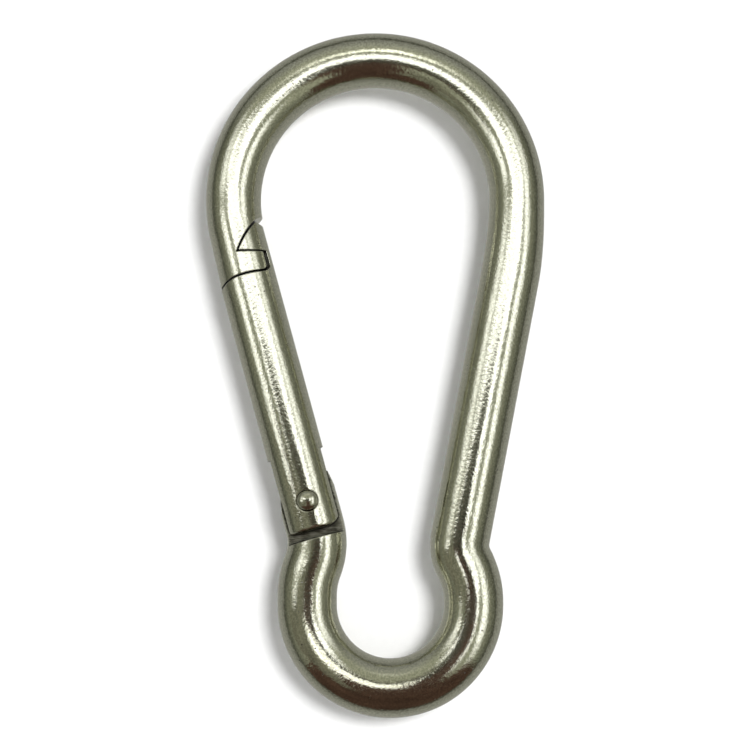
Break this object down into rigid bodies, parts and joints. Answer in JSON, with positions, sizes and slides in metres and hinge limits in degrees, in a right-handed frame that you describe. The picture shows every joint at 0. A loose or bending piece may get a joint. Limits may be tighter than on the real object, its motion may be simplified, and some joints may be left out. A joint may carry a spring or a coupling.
{
  "type": "spring gate snap hook",
  "caption": "Pear-shaped snap hook bent from round steel bar, with a small eye, a wide bow and a sprung gate that swings inward.",
  "frame": {"origin": "bearing point at the bottom of the inside of the small eye, on the hook's centre plane", "axes": "+Z along the hook from the small eye to the wide bow, X across the hook with the gate on -X, Y through its thickness"},
  "size_m": [0.0692, 0.0138, 0.14],
  "materials": {
    "polished_steel": "tumbled and polished stainless steel, faintly olive",
    "bright_rivet": "bright stainless steel",
    "spring_wire": "drawn stainless spring wire"
  },
  "bodies": {
    "hook": {"hook_body": "polished_steel"},
    "gate": {"gate": "polished_steel", "hinge_rivet": "bright_rivet", "gate_spring": "spring_wire"},
    "plunger": {"spring_plunger": "bright_rivet"}
  },
  "joints": [
    {"name": "gate_hinge", "type": "hinge", "parent": "hook", "child": "gate", "pos_m": [-0.01663, 0, 0.03149], "axis": [0, 1, 0], "range_deg": [0, 35], "stiffness_Nm_per_rad": 0.05, "springref_deg": -57.3},
    {"name": "plunger_slide", "type": "slide", "parent": "gate", "child": "plunger", "axis": [-0.2639, 0, 0.9646], "range_m": [0, 0.00135], "deforming": ["gate_spring"]}
  ],
  "couplings": [
    {"joint": "plunger_slide", "follows": "gate_hinge", "m_per_rad": 0.0022}
  ]
}
